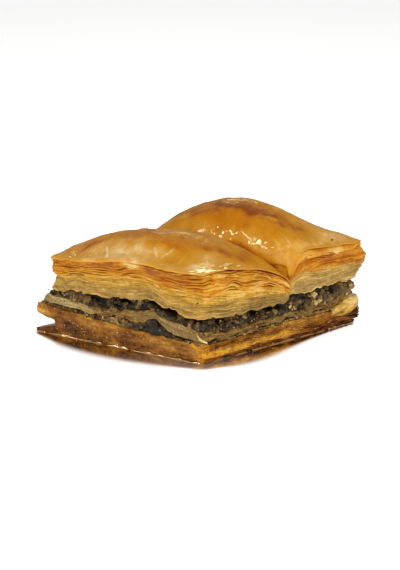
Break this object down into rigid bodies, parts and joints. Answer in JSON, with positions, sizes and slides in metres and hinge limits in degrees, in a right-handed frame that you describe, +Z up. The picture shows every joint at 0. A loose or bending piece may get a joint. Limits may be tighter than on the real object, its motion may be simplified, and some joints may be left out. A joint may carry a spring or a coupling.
{
  "type": "baklava slice",
  "caption": "Layered baklava slice: two puffed glazed lobes over bands of broken nuts and pale pastry, on one shared syrup-soaked base.",
  "frame": {"origin": "under the middle of the bounding box, on the surface the slice rests on", "axes": "+X along the score between the two lobes, +Y across them from the front lobe to the back lobe, +Z up"},
  "size_m": [0.0884, 0.0618, 0.0393],
  "materials": {
    "golden_top": "baked golden pastry under a thin syrup glaze",
    "pale_pastry": "moist pale pastry in fine leaves",
    "soaked_base": "amber pastry soaked with syrup",
    "nuts": "dark broken nuts, slightly oily"
  },
  "bodies": {
    "root": {"base_pastry": "soaked_base", "lower_nut_layer": "nuts", "middle_pastry": "pale_pastry", "upper_nut_layer": "nuts", "front_top_pastry": "golden_top", "back_top_pastry": "golden_top"}
  },
  "joints": []
}
